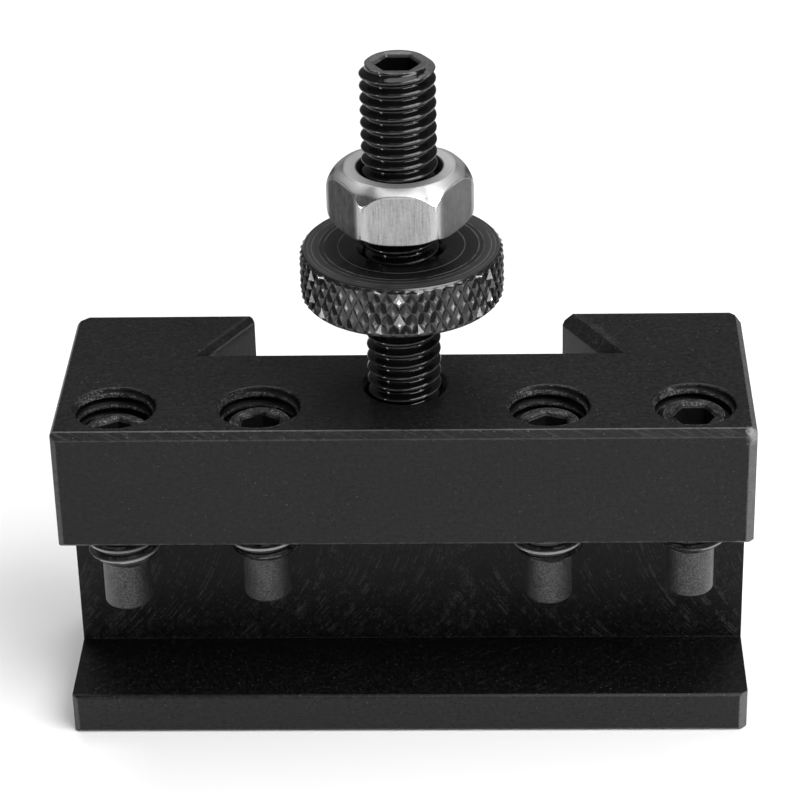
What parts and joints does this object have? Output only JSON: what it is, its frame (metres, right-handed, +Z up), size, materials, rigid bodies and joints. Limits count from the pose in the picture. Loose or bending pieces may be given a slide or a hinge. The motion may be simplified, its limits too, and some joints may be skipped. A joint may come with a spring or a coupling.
{
  "type": "quick change tool holder",
  "caption": "Turning and facing tool holder for a dovetail quick change tool post, with socket set screws over an open tool slot, a height stud, a knurled height wheel and a lock nut.",
  "frame": {"origin": "centre of the holder's footprint, on its underside", "axes": "+X along the holder, +Y out of the dovetail at the back, +Z up along the height stud"},
  "size_m": [0.055, 0.02, 0.0556],
  "materials": {
    "holder_steel": "black oxide, semi-matt, with bright worn edges",
    "screw_steel": "black oxide, oiled, dog points rubbed grey",
    "stud_steel": "black oxide, oiled and glossy",
    "wheel_steel": "black oxide, turned, with a rubbed diamond knurl",
    "nut_steel": "bare steel, drawn flats with fine upright marks"
  },
  "bodies": {
    "holder": {"holder_body": "holder_steel", "height_stud": "stud_steel"},
    "screw_left": {"set_screw_left": "screw_steel"},
    "screw_midleft": {"set_screw_midleft": "screw_steel"},
    "screw_midright": {"set_screw_midright": "screw_steel"},
    "screw_right": {"set_screw_right": "screw_steel"},
    "wheel": {"height_wheel": "wheel_steel"},
    "nut": {"lock_nut": "nut_steel"}
  },
  "joints": [
    {"name": "screw_left_feed", "type": "slide", "parent": "holder", "child": "screw_left", "axis": [0, 0, 1], "range_m": [-0.0063, 0.007]},
    {"name": "screw_midleft_feed", "type": "slide", "parent": "holder", "child": "screw_midleft", "axis": [0, 0, 1], "range_m": [-0.0068, 0.0065]},
    {"name": "screw_midright_feed", "type": "slide", "parent": "holder", "child": "screw_midright", "axis": [0, 0, 1], "range_m": [-0.0066, 0.0067]},
    {"name": "screw_right_feed", "type": "slide", "parent": "holder", "child": "screw_right", "axis": [0, 0, 1], "range_m": [-0.0073, 0.006]},
    {"name": "wheel_travel", "type": "slide", "parent": "holder", "child": "wheel", "axis": [0, 0, 1], "range_m": [-0.008, 0.004]},
    {"name": "nut_travel", "type": "slide", "parent": "wheel", "child": "nut", "axis": [0, 0, 1], "range_m": [-0.002, 0.004]}
  ]
}
